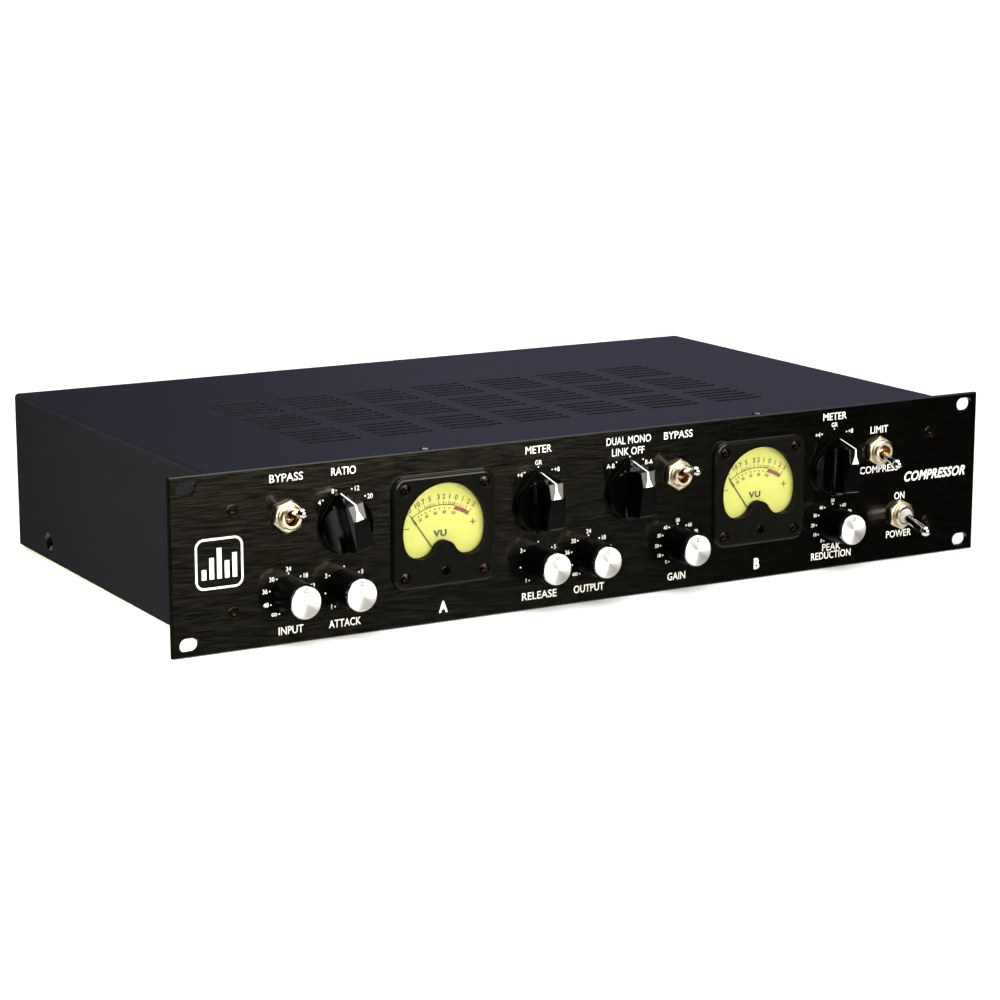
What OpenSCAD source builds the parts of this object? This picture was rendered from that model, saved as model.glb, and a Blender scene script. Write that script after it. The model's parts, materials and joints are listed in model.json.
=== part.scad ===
// Two-channel compressor for a 19-inch rack, two units high.
// X points right, Y to the rear and Z up, seen from the front.
// The origin is the centre of the four rack slots, on the rear face of the front panel.

/* [Front panel] */
// Width of the front panel
panel_w = 482.6; // [482:0.1:483.4]
// Height of the front panel, two rack units
panel_h = 88.1; // [87.6:0.1:88.9]
// Thickness of the front panel
panel_t = 3; // [2.8:0.1:3.2]
// Bevel along the front edges of the panel
panel_bevel = 0.5; // [0.2:0.1:0.8]
// Distance between the rack slots, side to side
slot_span_x = 465.1; // [464:0.1:466]
// Distance between the rack slots, top to bottom
slot_span_z = 76.2; // [76:0.1:76.4]

/* [Case] */
// Outside width of the top cover
cover_w = 438.4; // [436:0.2:440]
// Outside height from the floor of the tray to the top of the cover
case_h = 85.6; // [85:0.1:86.2]
// Length of the top cover behind the front panel
cover_l = 263.5; // [260:0.5:266]
// Sheet thickness of the top cover
cover_t = 1.2; // [1:0.1:1.5]
// Sheet thickness of the tray and the rear panel
sheet_t = 1.5; // [1.2:0.1:1.8]
// Length of one vent slot
vent_l = 31; // [28:0.5:33]
// Width of one vent slot
vent_w = 3.8; // [3:0.2:4.4]

/* [Controls] */
// Height of the row of round knobs above the centre
knob_z = -19.5; // [-20.5:0.5:-19]
// Height of the row of pointer knobs above the centre
pointer_z = 13.5; // [13:0.5:14.5]
// Height of the two meters above the centre
meter_z = 3.7; // [3.2:0.1:4.2]
// Radius of a round knob at its foot
knob_r = 9.1; // [8.8:0.1:9.3]
// Height of a round knob above the panel
knob_h = 19.6; // [18.6:0.2:21]
// Angle of a toggle lever above or below level
lever_angle = 15; // [12:1:15]
// Angle of the meter needles at rest, left of upright
needle_rest = 35.5; // [33:0.5:37]
// Angle of the ratio pointer at rest, left of upright
ratio_rest = 15; // [0:15:45]

/* [Hidden] */
$fn = 64;
face = -panel_t;
case_bottom = -case_h / 2;
case_top = case_h / 2;
tray_half = cover_w / 2 - cover_t - 0.3;
rear_y = cover_l - 1;
fit = 0.05;

pot_x = [-180, -150, -40, -10, 44.6, 144.5];
rotary_x = [-149.6, -40, 14.6, 144.4];
rotary_drop = [0, 1.5, 0.7, 1.5];
pointer_rest = [-ratio_rest, -3, -4, 3];
toggles = [[-180.3, 19.3], [44.3, 17.6], [174.2, 17.6], [189.8, -19.2]];
meter_x = 95;
knob_names = ["input", "attack", "release", "output", "gain", "peak_reduction"];

panel_screw_x = 209;
panel_screw_z = 25;
lip_in = 3.8;
side_screw_y = [38, 218];
side_screw_z = -33.5;
side_recess = 2;
seat_gap = 0.02;
top_screw_x = 100;
top_screw_y = 6;

shaft_r = 3;
pot_r = 12;
pot_l = 10;
pot_bush_r = 3.5;
rotary_r = 14;
rotary_bush_r = 4.75;
toggle_bush_r = 5.95;
toggle_bore_r = 3.9;
power_bore_r = 4.9;
toggle_reach = 5.8;
toggle_pivot = 0.3;
power_pivot = 4;
// ball radius, neck radius, reach and tip radius of a lever
toggle_lever = [3.5, 1.6, 17.4, 2.55];
power_lever = [4.2, 2.3, 20, 2.75];
lever_pin_r = 0.9;
lever_pin_proud = 0.15;
boot_r = 4.6;

meter_side = 57.2;
meter_corner = 6.5;
meter_edge_r = 1.8;
meter_proud = 2.9;
meter_body_r = 26.2;
meter_hole_r = 26.6;
meter_case_l = 26;
meter_screw_d = 22.4;
meter_screw_seat = 1.8;
dial_y = -1;
needle_y = -1.6;
needle_t = 0.3;
pivot_drop = 16.5;
adjuster_drop = 20.9;
adjuster_r = 2.45;
window_r = 23.8;
lobe = [13.7, -4.1];
lobe_r = window_r - norm(lobe);
hump_r = 6.14;
hump_z = -11.64;

xlr_in_x = [-190, -80];
xlr_out_x = [-150, -40];
xlr_z = 4;
xlr_flange = [26, 31];
xlr_screw = [9.5, 12];
inlet_x = 165;
inlet_z = 0;
rear_screw_x = 205;
rear_screw_z = -36;

audio_board_size = [240, 150];
audio_board_at = [-200, 55];
supply_board_size = [120, 60];
supply_board_at = [60, 185];
board_z = -33;
board_t = 1.6;
toroid_at = [140, 105];

// An outline drawn in X and Z, given depth from y0 to y1
module front_extrude(y0, y1) {
    translate([0, y1, 0])
        rotate([90, 0, 0])
            linear_extrude(y1 - y0)
                children();
}

// An outline drawn in Y and Z, given length from x0 to x1
module side_extrude(x0, x1) {
    translate([x0, 0, 0])
        rotate([90, 0, 90])
            linear_extrude(x1 - x0)
                children();
}

module rod_x(r, x0, x1) {
    translate([x0, 0, 0])
        rotate([0, 90, 0])
            cylinder(r = r, h = x1 - x0);
}

module rod_y(r, y0, y1) {
    translate([0, y0, 0])
        rotate([-90, 0, 0])
            cylinder(r = r, h = y1 - y0);
}

// A turned shape: points are radius and height, and the height runs forward from y0
module turned(y0, points) {
    translate([0, y0, 0])
        rotate([90, 0, 0])
            rotate_extrude()
                polygon(points);
}

module at_corners(dx, dz) {
    for (sx = [-1, 1], sz = [-1, 1])
        translate([sx * dx, 0, sz * dz])
            children();
}

module at_corners_2d(dx, dz) {
    for (sx = [-1, 1], sz = [-1, 1])
        translate([sx * dx, sz * dz])
            children();
}

module slot_2d(length, width) {
    square([length - width, width], center = true);
    for (side = [-1, 1])
        translate([side * (length - width) / 2, 0])
            circle(d = width);
}

module rounded_2d(w, h, r) {
    square([w - 2 * r, h], center = true);
    square([w, h - 2 * r], center = true);
    at_corners_2d(w / 2 - r, h / 2 - r)
        circle(r);
}

// Screw along Z: the head rises from the origin and the shank goes down
module cross_screw(head_r, head_h, shank_r, shank_l) {
    difference() {
        rotate_extrude()
            polygon([
                [0, 0], [head_r, 0], [head_r, 0.45 * head_h],
                [0.72 * head_r, head_h], [0, head_h]
            ]);
        for (turn = [0, 90])
            rotate(turn)
                translate([-0.6 * head_r, -0.13 * head_r, 0.35 * head_h])
                    cube([1.2 * head_r, 0.26 * head_r, head_h]);
    }
    translate([0, 0, -shank_l])
        cylinder(r = shank_r, h = shank_l);
}

// Hexagon nut along Z with the corners of both faces turned off
module hex_nut(across, height, bore_r) {
    corner_r = across / 2 / cos(30);
    washer_r = 0.97 * across / 2;
    crown_r = 0.98 * corner_r;
    difference() {
        intersection() {
            cylinder(r = corner_r, h = height, $fn = 6);
            rotate_extrude()
                polygon([
                    [0, 0], [washer_r, 0], [crown_r, 0.25 * height], [crown_r, 0.7 * height],
                    [washer_r, height], [0, height]
                ]);
        }
        translate([0, 0, -1])
            cylinder(r = bore_r, h = height + 2);
    }
}

module panel_blank() {
    half = panel_h / 2;
    wide = panel_w / 2;
    b = panel_bevel;
    intersection() {
        side_extrude(-wide, wide)
            polygon([
                [0, -half], [0, half], [face + b, half],
                [face, half - b], [face, b - half], [face + b, -half]
            ]);
        translate([0, 0, -half])
            linear_extrude(panel_h)
                polygon([
                    [-wide, 0], [wide, 0], [wide, face + b],
                    [wide - b, face], [b - wide, face], [-wide, face + b]
                ]);
    }
}

module meter_holes_2d() {
    for (side = [-1, 1])
        translate([side * meter_x, meter_z]) {
            circle(meter_hole_r);
            at_corners_2d(meter_screw_d, meter_screw_d)
                circle(1.6);
        }
}

module control_holes_2d() {
    for (x = pot_x)
        translate([x, knob_z])
            circle(pot_bush_r + 0.2);
    for (i = [0 : 3])
        translate([rotary_x[i], pointer_z - rotary_drop[i]])
            circle(rotary_bush_r + 0.2);
    for (spot = toggles)
        translate(spot)
            circle(toggle_bush_r + 0.15);
}

module front_panel() {
    color("#1d1b18")
        difference() {
            panel_blank();
            front_extrude(face - 1, 1) {
                at_corners_2d(slot_span_x / 2, slot_span_z / 2)
                    slot_2d(10.3, 7.1);
                meter_holes_2d();
                control_holes_2d();
                at_corners_2d(panel_screw_x, panel_screw_z)
                    circle(1.6);
            }
            at_corners(panel_screw_x, panel_screw_z)
                turned(face + 1.5, [[0, 0], [1.6, 0], [3.1, 1.5], [3.1, 2], [0, 2]]);
        }
}

module panel_screws() {
    color("#2b2a28")
        at_corners(panel_screw_x, panel_screw_z)
            difference() {
                union() {
                    turned(face + 1.5, [[0, 0], [1.5, 0], [2.95, 1.45], [0, 1.45]]);
                    rod_y(1.5, face + 1.4, 7);
                }
                rotate([0, 30, 0])
                    translate([0, face - 1, 0])
                        rotate([-90, 0, 0])
                            cylinder(d = 2.4, h = 2.2, $fn = 6);
            }
}

module chassis_tray() {
    t = sheet_t;
    wall_top = case_top - cover_t - 0.2;
    lip_x = tray_half - lip_in;
    color("#8c8f92")
        difference() {
            union() {
                translate([-tray_half, 0, case_bottom])
                    cube([2 * tray_half, rear_y - t, t]);
                translate([-tray_half, 0, case_bottom])
                    cube([2 * tray_half, t, wall_top - case_bottom]);
                translate([-tray_half, 0, wall_top - t])
                    cube([2 * tray_half, 12, t]);
                for (side = [-1, 1])
                    translate([side * lip_x - t / 2, 0, case_bottom])
                        cube([t, rear_y - t, 19]);
                translate([-lip_x, rear_y - 2 * t, case_bottom])
                    cube([2 * lip_x, t, 12]);
            }
            front_extrude(-1, t + 1) {
                meter_holes_2d();
                control_holes_2d();
                at_corners_2d(panel_screw_x, panel_screw_z)
                    circle(1.6);
            }
            for (y = side_screw_y)
                translate([0, y, side_screw_z])
                    rod_x(1.9, -tray_half - 1, tray_half + 1);
            for (side = [-1, 1])
                translate([side * top_screw_x, top_screw_y, wall_top - t - 1])
                    cylinder(r = 1.5, h = t + 2);
            for (side = [-1, 1])
                translate([side * rear_screw_x, 0, rear_screw_z])
                    rod_y(1.5, rear_y - 2 * t - 1, rear_y);
        }
}

module connector_holes_2d() {
    for (x = concat(xlr_in_x, xlr_out_x))
        translate([x, xlr_z]) {
            circle(12);
            translate([xlr_screw[0], xlr_screw[1]])
                circle(1.6);
            translate([-xlr_screw[0], -xlr_screw[1]])
                circle(1.6);
        }
    translate([inlet_x, inlet_z]) {
        square([28, 31], center = true);
        for (side = [-1, 1])
            translate([side * 20, 0])
                circle(1.6);
    }
    for (side = [-1, 1])
        translate([side * rear_screw_x, rear_screw_z])
            circle(1.6);
}

module rear_panel() {
    t = sheet_t;
    top = case_top - cover_t - 0.2;
    color("#22252b")
        difference() {
            union() {
                translate([-tray_half, rear_y - t, case_bottom])
                    cube([2 * tray_half, t, top - case_bottom]);
                translate([-tray_half, rear_y - 12, top - t])
                    cube([2 * tray_half, 12, t]);
            }
            front_extrude(rear_y - t - 1, rear_y + 1)
                connector_holes_2d();
        }
}

// One side of the cover's stamped screw dimple, along X with its mouth at x = 0
module dimple(outer_r, inner_r, depth) {
    rotate([0, 90, 0])
        translate([0, 0, -depth])
            cylinder(r1 = inner_r, r2 = outer_r, h = depth);
}

module cover_shell_2d() {
    outer_r = 2.2;
    inner_r = outer_r - cover_t;
    half = cover_w / 2;
    depth = case_h - 0.5;
    difference() {
        union() {
            translate([-half, case_top - depth])
                square([2 * half, depth - outer_r]);
            translate([outer_r - half, case_top - depth])
                square([2 * (half - outer_r), depth]);
            for (side = [-1, 1])
                translate([side * (half - outer_r), case_top - outer_r])
                    circle(outer_r);
        }
        translate([cover_t - half, case_top - depth - 1])
            square([2 * (half - cover_t), depth + 1 - cover_t - inner_r]);
        translate([outer_r - half, case_top - depth - 1])
            square([2 * (half - outer_r), depth + 1 - cover_t]);
        for (side = [-1, 1])
            translate([side * (half - outer_r), case_top - outer_r])
                circle(inner_r);
    }
}

module vent_slots() {
    columns = 7;
    rows = 3;
    slots = 5;
    middle_x = -4.9;
    first_y = 66;
    for (c = [0 : columns - 1], r = [0 : rows - 1], s = [0 : slots - 1])
        translate([
            middle_x + (c - (columns - 1) / 2) * 41.1,
            first_y + r * 45.6 + (s - (slots - 1) / 2) * 7.7,
            case_top - cover_t - 1
        ])
            linear_extrude(cover_t + 2)
                slot_2d(vent_l, vent_w);
}

module top_cover() {
    half = cover_w / 2;
    color("#383a4a")
        difference() {
            union() {
                front_extrude(0.3, cover_l)
                    cover_shell_2d();
                for (side = [0, 180], y = side_screw_y)
                    translate([0, y, side_screw_z])
                        rotate([0, side, 0])
                            translate([half - 0.2, 0, 0])
                                dimple(6.6, 4.6, 2.8);
            }
            vent_slots();
            for (side = [0, 180], y = side_screw_y)
                translate([0, y, side_screw_z])
                    rotate([0, side, 0])
                        translate([half + 0.01, 0, 0])
                            dimple(6.1, 4.1, side_recess);
            for (y = side_screw_y)
                translate([0, y, side_screw_z])
                    rod_x(2.2, -half - 1, half + 1);
            for (side = [-1, 1])
                translate([side * top_screw_x, top_screw_y, case_top - cover_t - 1])
                    cylinder(r = 1.7, h = cover_t + 2);
        }
}

module cover_top_screws() {
    color("#8d8f96")
        for (side = [-1, 1])
            translate([side * top_screw_x, top_screw_y, case_top])
                rotate(25 * side)
                    cross_screw(2.7, 1.2, 1.45, 6);
}

module cover_side_screws() {
    seat = cover_w / 2 - side_recess + seat_gap;
    color("#121214")
        for (side = [0, 180], y = side_screw_y)
            translate([0, y, side_screw_z])
                rotate([0, side, 0])
                    translate([seat, 0, 0])
                        rotate([0, 90, 0])
                            rotate(20)
                                cross_screw(3.9, 2.3, 1.85, 9);
}

module rear_screws() {
    color("#a9abb0") {
        for (side = [-1, 1])
            translate([side * rear_screw_x, rear_y, rear_screw_z])
                rotate([-90, 0, 0])
                    cross_screw(2.7, 1.6, 1.45, 6);
        for (x = concat(xlr_in_x, xlr_out_x), side = [-1, 1])
            translate([x + side * xlr_screw[0], rear_y + 1.6, xlr_z + side * xlr_screw[1]])
                rotate([-90, 0, 0])
                    cross_screw(2.5, 1.5, 1.35, 7);
        for (side = [-1, 1])
            translate([inlet_x + side * 20, rear_y + 2.6, inlet_z])
                rotate([-90, 0, 0])
                    cross_screw(2.5, 1.5, 1.35, 7);
    }
}

module at_meter(side) {
    translate([side * meter_x, 0, meter_z])
        children();
}

// The meter's window: a circle with two lobes below and a hump between them
module window_2d() {
    far = 2 * window_r;
    shoulder = far * lobe[1] / lobe[0];
    difference() {
        circle(window_r);
        difference() {
            polygon([[0, 0], [far, shoulder], [far, -far], [-far, -far], [-far, shoulder]]);
            for (side = [-1, 1])
                translate([side * lobe[0], lobe[1]])
                    circle(lobe_r);
            difference() {
                polygon([[-lobe[0], lobe[1]], [0, 1], lobe, [0, hump_z]]);
                translate([0, hump_z])
                    circle(hump_r);
            }
        }
    }
}

// Square block whose front edges and corners are rounded over in short flats
module bezel_block() {
    half = meter_side / 2;
    inner = half - meter_corner;
    front = face - meter_proud;
    edge = [
        for (t = [0 : 22.5 : 90])
            [meter_edge_r * (1 - cos(t)), meter_proud - meter_edge_r * (1 - sin(t))]
    ];
    rise = [for (e = edge) [face - e[1], half - e[0]]];
    fall = [for (i = [len(edge) - 1 : -1 : 0]) [face - edge[i][1], edge[i][0] - half]];
    section = concat([[face, -half], [face, half]], rise, fall);
    intersection() {
        side_extrude(-half, half)
            polygon(section);
        translate([0, 0, -half])
            linear_extrude(meter_side)
                polygon([for (p = section) [p[1], p[0]]]);
        union() {
            translate([-inner, front, -half])
                cube([2 * inner, meter_proud, meter_side]);
            translate([-half, front, -inner])
                cube([meter_side, meter_proud, 2 * inner]);
            at_corners(inner, inner)
                turned(face, concat(
                    [[0, 0], [meter_corner, 0]],
                    [for (e = edge) [meter_corner - e[0], e[1]]],
                    [[0, meter_proud]]
                ));
        }
    }
}

module meter_bezel() {
    front = face - meter_proud;
    color("#1b1b19")
        difference() {
            union() {
                bezel_block();
                rod_y(meter_body_r, face - 1, face + 1);
            }
            front_extrude(front - 1, face + 2)
                window_2d();
            at_corners(meter_screw_d, meter_screw_d) {
                rod_y(1.5, front - 1, face + 1);
                turned(front + meter_screw_seat, [[0, 0], [1.5, 0], [3.1, 1.1], [3.1, 3], [0, 3]]);
            }
            translate([0, 0, -adjuster_drop])
                rod_y(adjuster_r + fit, front - 1, face + 2);
        }
}

module meter_lens() {
    front = face - meter_proud + 0.8;
    color("#e8eef0", 0.35)
        front_extrude(front, front + 1)
            scale(0.995)
                window_2d();
}

module meter_dial() {
    color("#e9e98a")
        difference() {
            rod_y(meter_body_r - 1.4, dial_y, dial_y + 0.6);
            translate([0, 0, -pivot_drop])
                rod_y(1.4, dial_y - 1, dial_y + 2);
        }
}

module meter_case() {
    color("#151515")
        difference() {
            rod_y(meter_body_r, face + 1, meter_case_l);
            rod_y(meter_body_r - 1.4, face, meter_case_l - 1.6);
        }
    // two terminal studs on the back
    color("#b8923a")
        for (side = [-1, 1])
            translate([side * 9, 0, 0])
                rod_y(2, meter_case_l, meter_case_l + 7);
}

module meter_movement() {
    color("#6d6f73")
        translate([0, 0, -pivot_drop])
            difference() {
                rod_y(7.4, 3, meter_case_l - 1.6);
                rod_y(0.6 + fit, 2, 18);
            }
}

module meter_needle() {
    hub_r = 2;
    blade = [[-0.35, 0], [0.35, 0], [0.22, 24], [0.6, 24.6], [0.12, 29.6], [-0.12, 29.6], [-0.6, 24.6], [-0.22, 24]];
    tail = [[-0.8, -6], [0.8, -6], [0.4, 0], [-0.4, 0]];
    color("#141414")
        translate([0, 0, -pivot_drop])
            rotate([0, -needle_rest, 0]) {
                front_extrude(needle_y, needle_y + needle_t) {
                    polygon(blade);
                    polygon(tail);
                    circle(hub_r);
                }
                rod_y(0.6, needle_y + 0.1, 16);
            }
}

module meter_adjuster() {
    front = face - meter_proud;
    color("#161616")
        translate([0, 0, -adjuster_drop])
            difference() {
                rod_y(adjuster_r, front - 0.4, face + 1);
                rotate([0, 4, 0])
                    translate([-0.4, front - 1, -4])
                        cube([0.8, 1.7, 8]);
            }
}

// Cross-headed screws sunk a little below the bezel's face
module meter_screws() {
    front = face - meter_proud;
    slot_w = 0.8;
    color("#2f241a")
        for (side = [-1, 1])
            at_meter(side)
                at_corners(meter_screw_d, meter_screw_d) {
                    difference() {
                        turned(front + meter_screw_seat, [
                            [0, 0], [1.4, 0], [2.8, 1.05], [2.5, 1.4], [0, 1.6]
                        ]);
                        for (turn = [45, 135])
                            rotate([0, turn, 0])
                                translate([-1.7, front - 1, -slot_w / 2])
                                    cube([3.4, 2, slot_w]);
                    }
                    rod_y(1.4, front + meter_screw_seat - 0.1, 6);
                }
}

module potentiometers() {
    for (x = pot_x)
        translate([x, 0, knob_z]) {
            color("#9a9ca0")
                difference() {
                    union() {
                        rod_y(pot_r, sheet_t, sheet_t + pot_l);
                        rod_y(pot_bush_r, face - 4, sheet_t + 1);
                    }
                    rod_y(shaft_r + fit, face - 5, sheet_t + pot_l - 2);
                }
            color("#b8923a")
                for (pin = [-1, 0, 1])
                    translate([pin * 5 - 0.75, sheet_t + 4, pot_r - 1])
                        cube([1.5, 0.8, 5]);
        }
}

module rotary_switches() {
    color("#7f5a2c")
        for (i = [0 : 3])
            translate([rotary_x[i], 0, pointer_z - rotary_drop[i]])
                difference() {
                    union() {
                        rod_y(rotary_r, sheet_t, sheet_t + 3);
                        rod_y(rotary_r - 1.5, sheet_t + 2, sheet_t + 16);
                        rod_y(rotary_bush_r, face - 3.4, sheet_t + 1);
                    }
                    rod_y(shaft_r + fit, face - 5, sheet_t + 12);
                }
}

module control_nuts() {
    color("#c9c7c0") {
        for (x = pot_x)
            translate([x, face, knob_z])
                rotate([90, 0, 0])
                    hex_nut(10, 2, pot_bush_r);
        for (i = [0 : 3])
            translate([rotary_x[i], face, pointer_z - rotary_drop[i]])
                rotate([90, 0, 0])
                    hex_nut(12.7, 2.2, rotary_bush_r);
    }
}

// Toggle switch body behind the panel with a threaded bushing that stands in front of it
module toggle_body(spot, bore_r) {
    top = toggle_reach + panel_t + sheet_t;
    translate([spot[0], 0, spot[1]])
        difference() {
            union() {
                turned(sheet_t, [
                    [0, -1], [toggle_bush_r, -1], [toggle_bush_r, top - 0.8],
                    [toggle_bush_r - 0.8, top], [0, top]
                ]);
                translate([-8.5, sheet_t, -14.3])
                    cube([17, 22, 28.6]);
                for (lug = [-9, 0, 9])
                    translate([-2.5, sheet_t + 20, lug - 0.5])
                        cube([5, 10, 1]);
            }
            rod_y(bore_r, face - toggle_reach - 1, sheet_t + 2);
            rod_y(7, sheet_t + 1.5, sheet_t + 13);
        }
}

module toggle_switches() {
    color("#d9cdb2") {
        for (i = [0 : 2])
            toggle_body(toggles[i], toggle_bore_r);
        toggle_body(toggles[3], power_bore_r);
    }
}

module toggle_nuts() {
    nut_turn = [18, 26, 30, 34];
    color("#e2d8c0")
        for (i = [0 : 3])
            translate([toggles[i][0], face, toggles[i][1]])
                rotate([90, 0, 0])
                    rotate(nut_turn[i])
                        hex_nut(14.6, 2.8, toggle_bush_r + fit);
}

// Bat lever pointing forward from the keyed ball it swings on, swung up by angle
module bat_lever(spot, pivot, angle, size) {
    ball_r = size[0];
    neck_r = size[1];
    reach = size[2];
    tip_r = size[3];
    color("#d5d2cb")
        translate([spot[0], face - pivot, spot[1]])
            rotate([-angle, 0, 0]) {
                sphere(ball_r);
                turned(0, [
                    [0, 0], [neck_r, 0], [neck_r + 0.1, reach * 0.55],
                    [tip_r * 0.92, reach - 0.8], [0, reach]
                ]);
                translate([0, -reach, 0])
                    sphere(tip_r);
                rod_y(1.6, 0, 9);
                rod_x(lever_pin_r, -ball_r - lever_pin_proud, ball_r + lever_pin_proud);
            }
}

// Domed seal over the front of the power lever's ball
module power_boot() {
    neck_r = power_lever[1] + 0.1;
    inner_r = power_lever[0] + fit;
    open_y = -1;
    color("#9b9a94")
        translate([toggles[3][0], face - power_pivot, toggles[3][1]])
            rotate([lever_angle, 0, 0])
                difference() {
                    sphere(boot_r);
                    sphere(inner_r);
                    rod_y(boot_r + 1, open_y, boot_r + 1);
                    rod_y(neck_r, -boot_r - 1, 0);
                }
}

// A round knob on its shaft; the foot has a hollow for the bushing's nut
module round_knob(i) {
    color("#101010")
        translate([pot_x[i], 0, knob_z]) {
            turned(face, [
                [7, 0.8], [knob_r, 0.8], [knob_r - 0.3, knob_h - 3.4], [knob_r - 0.7, knob_h - 3],
                [0, knob_h - 3], [0, knob_h - 5], [shaft_r, knob_h - 5], [shaft_r, 5.5], [7, 5.5]
            ]);
            rod_y(shaft_r, face - knob_h + 5, sheet_t + pot_l - 3);
        }
}

module knob_cap(i) {
    cap_r = 8.2;
    color("#dedede")
        translate([pot_x[i], 0, knob_z])
            difference() {
                turned(face - knob_h + 3, [[0, 0], [cap_r, 0], [cap_r, 2.6], [cap_r - 0.4, 3], [0, 3]]);
                translate([0, 0, 5.8])
                    rod_y(1, face - knob_h - 1, face - knob_h + 0.3);
            }
}

module pointer_outline_2d() {
    foot_r = 13.7;
    foot_z = -1.8;
    tip = 16.4;
    tangent = acos(foot_r / (tip - foot_z));
    side = [foot_r * sin(tangent), foot_z + foot_r * cos(tangent)];
    translate([0, foot_z])
        circle(foot_r);
    polygon([[0, tip], side, [0, foot_z], [-side[0], side[1]]]);
}

// Width of the pointer knob at each height: a foot, two hollow flanks and a bevelled bar
module pointer_section_2d() {
    flank_r = 8.8;
    flank = [14, 12.4];
    half = [[14, 0.7], flank, [5.2, 12.4], [5, 17.4], [3.5, 19.2]];
    difference() {
        polygon(concat(half, [for (i = [4 : -1 : 0]) [-half[i][0], half[i][1]]]));
        for (side = [-1, 1])
            translate([side * flank[0], flank[1]])
                circle(flank_r);
    }
}

module pointer_knob(i) {
    color("#0e0e0e")
        translate([rotary_x[i], 0, pointer_z - rotary_drop[i]])
            rotate([0, pointer_rest[i], 0]) {
                difference() {
                    intersection() {
                        front_extrude(face - 20, face)
                            pointer_outline_2d();
                        translate([0, 0, -20])
                            linear_extrude(40)
                                translate([0, face])
                                    mirror([0, 1])
                                        pointer_section_2d();
                        side_extrude(-20, 20)
                            translate([face, 0])
                                polygon([
                                    [-0.7, -16.5], [-3.6, -15.6], [-8, -12.6], [-16.4, -11.9],
                                    [-17.2, -11.2], [-19.2, 4.3], [-18.5, 12.2], [-2.2, 16], [-0.7, 16.6]
                                ]);
                    }
                    rod_y(7.75, face - 5.2, face);
                    rod_y(shaft_r, face - 14, face);
                }
                rod_y(shaft_r, face - 14, sheet_t + 11);
            }
}

module board_blank(at, size) {
    translate([at[0], at[1], board_z])
        cube([size[0], size[1], board_t]);
}

module at_board_corners(at, size) {
    inset = 6;
    for (x = [inset, size[0] - inset], y = [inset, size[1] - inset])
        translate([at[0] + x, at[1] + y, 0])
            children();
}

module audio_board() {
    chip_rows = 3;
    chips = 6;
    color("#2d6b3a")
        difference() {
            board_blank(audio_board_at, audio_board_size);
            at_board_corners(audio_board_at, audio_board_size)
                translate([0, 0, board_z - 1])
                    cylinder(r = 1.6, h = 4);
        }
    color("#1a1a1a")
        for (c = [0 : chips - 1], r = [0 : chip_rows - 1])
            translate([audio_board_at[0] + 25 + c * 32, audio_board_at[1] + 20 + r * 30, board_z + board_t])
                cube([10, 7, 3.5]);
}

module board_standoffs() {
    color("#c2a560")
        for (board = [[audio_board_at, audio_board_size], [supply_board_at, supply_board_size]])
            at_board_corners(board[0], board[1]) {
                floor_z = case_bottom + sheet_t;
                translate([0, 0, floor_z])
                    cylinder(d = 6, h = board_z - floor_z, $fn = 6);
                translate([0, 0, board_z + board_t])
                    cylinder(r = 2.7, h = 1.8);
                translate([0, 0, board_z])
                    cylinder(r = 1.4, h = board_t);
            }
}

module supply_board() {
    color("#2d6b3a")
        difference() {
            board_blank(supply_board_at, supply_board_size);
            at_board_corners(supply_board_at, supply_board_size)
                translate([0, 0, board_z - 1])
                    cylinder(r = 1.6, h = 4);
        }
}

module supply_capacitors() {
    color("#24304a")
        for (c = [0 : 3])
            translate([supply_board_at[0] + 22 + c * 22, supply_board_at[1] + 18, board_z + board_t])
                cylinder(r = 9, h = 32);
}

module mains_transformer() {
    floor_z = case_bottom + sheet_t;
    translate([toroid_at[0], toroid_at[1], 0]) {
        color("#b07a2e")
            rotate_extrude()
                translate([28, floor_z + 19])
                    rounded_2d(32, 36, 8);
        color("#303030")
            translate([0, 0, floor_z + 37])
                difference() {
                    cylinder(r = 30, h = 1.5);
                    translate([0, 0, -1])
                        cylinder(r = 3.1, h = 4);
                }
        color("#b8b8b8") {
            translate([0, 0, floor_z])
                cylinder(r = 3, h = 42);
            translate([0, 0, floor_z + 38.5])
                hex_nut(10, 4, 3);
        }
    }
}

module audio_transformers() {
    color("#5a5d63")
        for (x = concat(xlr_in_x, xlr_out_x))
            translate([x, 224, case_bottom + sheet_t])
                difference() {
                    translate([-14, -12, 0])
                        cube([28, 24, 34]);
                    translate([-5, -13, 6])
                        cube([10, 2, 22]);
                }
}

module opto_cell() {
    color("#a5a8ab")
        translate([20, 100, board_z + board_t])
            difference() {
                cylinder(r = 12, h = 36);
                translate([0, 0, 35])
                    cylinder(r = 10.5, h = 2);
            }
}

module heat_sink() {
    fins = 5;
    fin_step = 14.5;
    fin_t = 3;
    color("#26282b")
        translate([supply_board_at[0] + 15, supply_board_at[1] + 40, board_z + board_t]) {
            cube([(fins - 1) * fin_step + fin_t, fin_t, 40]);
            for (f = [0 : fins - 1])
                translate([f * fin_step, 2.5, 0])
                    cube([fin_t, 12, 40]);
        }
}

// Connector body seen from behind: a flange outside the panel and a barrel through it
module xlr_blank() {
    front_extrude(rear_y, rear_y + 2.6)
        difference() {
            rounded_2d(xlr_flange[0], xlr_flange[1], 3);
            for (side = [-1, 1])
                translate([side * xlr_screw[0], side * xlr_screw[1]])
                    circle(1.5);
        }
    rod_y(11.8, rear_y - 22, rear_y + 1);
}

module xlr_inputs() {
    mouth = rear_y + 2.6;
    color("#17181a")
        for (x = xlr_in_x)
            translate([x, 0, xlr_z])
                difference() {
                    xlr_blank();
                    at_screw_seats();
                    difference() {
                        rod_y(9.6, mouth - 12, mouth + 1);
                        rod_y(7.8, mouth - 13, mouth + 2);
                    }
                    for (turn = [90, 210, 330])
                        rotate([0, turn, 0])
                            translate([5, 0, 0])
                                rod_y(1.3, mouth - 10, mouth + 1);
                }
}

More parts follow.
